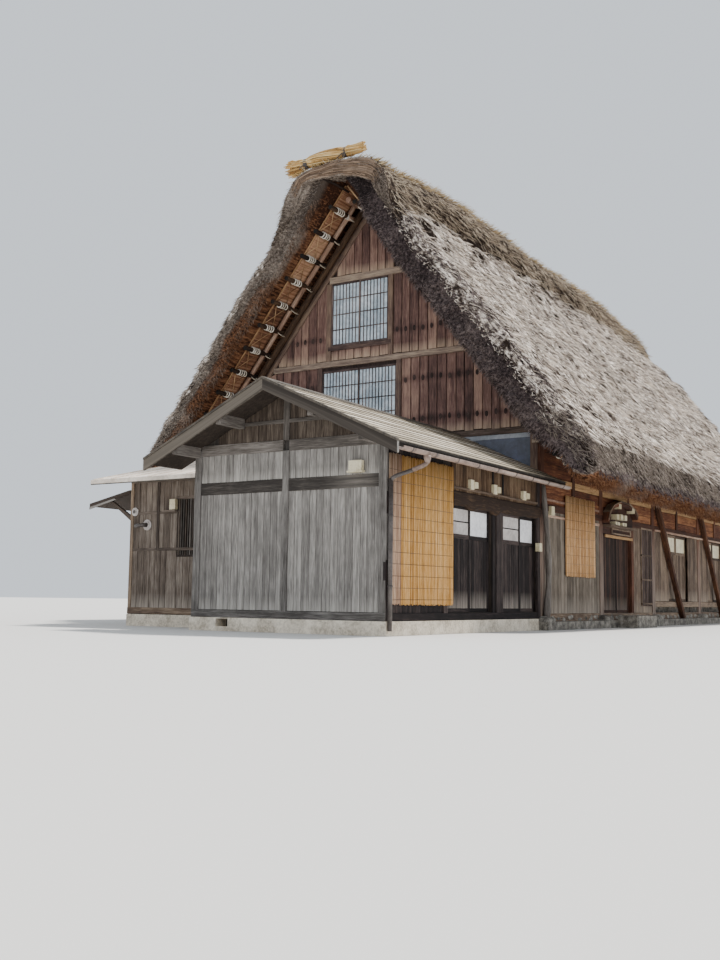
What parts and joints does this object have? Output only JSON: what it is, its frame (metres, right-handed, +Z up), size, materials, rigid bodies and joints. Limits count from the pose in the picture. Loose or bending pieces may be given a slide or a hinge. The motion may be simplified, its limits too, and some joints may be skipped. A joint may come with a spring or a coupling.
{
  "type": "thatched minka farmhouse",
  "caption": "Farmhouse with a steep thatched roof over boarded gables, a lower gabled front annex, a lean-to, sliding doors along one side and shuttered windows.",
  "frame": {"origin": "on the ground, midway between the annex verge and the far end of the thatch, under the ridge line", "axes": "+Z up, -Y towards the front gable and the annex, +X towards the side with the sliding doors"},
  "size_m": [10.92, 21.19, 9.4553],
  "materials": {
    "annex_roofing": "weathered wooden shingle strips",
    "base_stone": "rough field stone",
    "concrete": "cast concrete",
    "door_boards": "dark stained boards",
    "gable_boards": "weathered dark cedar boards",
    "grey_boards": "silver grey weathered boards",
    "gutter": "faded brown gutter",
    "pale_sheet": "pale painted roof sheet",
    "pale_wood": "pale planed timber",
    "reed": "split reed blind",
    "roof_poles": "smoke stained round poles",
    "shoji": "paper behind wooden slats",
    "side_planks": "orange brown cedar planks",
    "slate_panel": "painted sheet metal",
    "straw": "fresh straw",
    "thatch": "weathered reed thatch"
  },
  "bodies": {
    "house": {"annex_barge_boards": "grey_boards", "annex_floor": "pale_wood", "annex_foundation": "concrete", "annex_frame": "grey_boards", "annex_front_wall": "grey_boards", "annex_left_wall": "grey_boards", "annex_reed_screen": "reed", "annex_right_wall": "door_boards", "annex_roof_left": "annex_roofing", "annex_roof_right": "annex_roofing", "back_gable_frame": "gable_boards", "back_gable_wall": "gable_boards", "back_wall_lower": "gable_boards", "back_window_lower": "shoji", "back_window_upper": "shoji", "entrance_step": "base_stone", "front_gable_frame": "gable_boards", "front_gable_wall": "gable_boards", "front_wall_lower": "gable_boards", "front_wall_panel": "slate_panel", "front_window_lower": "shoji", "front_window_upper": "shoji", "gutter_and_downpipe": "gutter", "lean_to_roof": "pale_sheet", "lean_to_walls": "gable_boards", "left_wall": "side_planks", "left_wall_frame": "side_planks", "main_floor": "pale_wood", "main_foundation": "base_stone", "ridge_cap": "thatch", "right_wall_frame": "side_planks", "right_wall_middle": "side_planks", "right_wall_near": "side_planks", "right_wall_over_doors": "side_planks", "roof_poles_left": "roof_poles", "roof_poles_right": "roof_poles", "side_brace_far": "side_planks", "side_brace_near": "side_planks", "side_canopy": "gable_boards", "side_reed_screen": "reed", "straw_roll": "straw", "thatch_left": "thatch", "thatch_right": "thatch"},
    "entrance_leaf_near": {"entrance_door_near": "door_boards"},
    "entrance_leaf_far": {"entrance_door_far": "door_boards"},
    "annex_leaf_1_near": {"annex_door_1_near": "door_boards"},
    "annex_leaf_1_far": {"annex_door_1_far": "door_boards"},
    "annex_leaf_2_near": {"annex_door_2_near": "door_boards"},
    "annex_leaf_2_far": {"annex_door_2_far": "door_boards"},
    "side_leaf_a_near": {"side_door_a_near": "side_planks"},
    "side_leaf_a_far": {"side_door_a_far": "side_planks"},
    "side_leaf_b_near": {"side_door_b_near": "side_planks"},
    "side_leaf_b_far": {"side_door_b_far": "side_planks"}
  },
  "joints": [
    {"name": "entrance_leaf_near_slide", "type": "slide", "parent": "house", "child": "entrance_leaf_near", "axis": [0, 1, 0], "range_m": [0, 0.85]},
    {"name": "entrance_leaf_far_slide", "type": "slide", "parent": "house", "child": "entrance_leaf_far", "axis": [0, -1, 0], "range_m": [0, 0.85]},
    {"name": "annex_leaf_1_near_slide", "type": "slide", "parent": "house", "child": "annex_leaf_1_near", "axis": [0, 1, 0], "range_m": [0, 0.76]},
    {"name": "annex_leaf_1_far_slide", "type": "slide", "parent": "house", "child": "annex_leaf_1_far", "axis": [0, -1, 0], "range_m": [0, 0.76]},
    {"name": "annex_leaf_2_near_slide", "type": "slide", "parent": "house", "child": "annex_leaf_2_near", "axis": [0, 1, 0], "range_m": [0, 0.675]},
    {"name": "annex_leaf_2_far_slide", "type": "slide", "parent": "house", "child": "annex_leaf_2_far", "axis": [0, -1, 0], "range_m": [0, 0.675]},
    {"name": "side_leaf_a_near_slide", "type": "slide", "parent": "house", "child": "side_leaf_a_near", "axis": [0, -1, 0], "range_m": [0, 0.85]},
    {"name": "side_leaf_a_far_slide", "type": "slide", "parent": "house", "child": "side_leaf_a_far", "axis": [0, 1, 0], "range_m": [0, 0.8]},
    {"name": "side_leaf_b_near_slide", "type": "slide", "parent": "house", "child": "side_leaf_b_near", "axis": [0, -1, 0], "range_m": [0, 0.7]},
    {"name": "side_leaf_b_far_slide", "type": "slide", "parent": "house", "child": "side_leaf_b_far", "axis": [0, 1, 0], "range_m": [0, 0.67]}
  ]
}
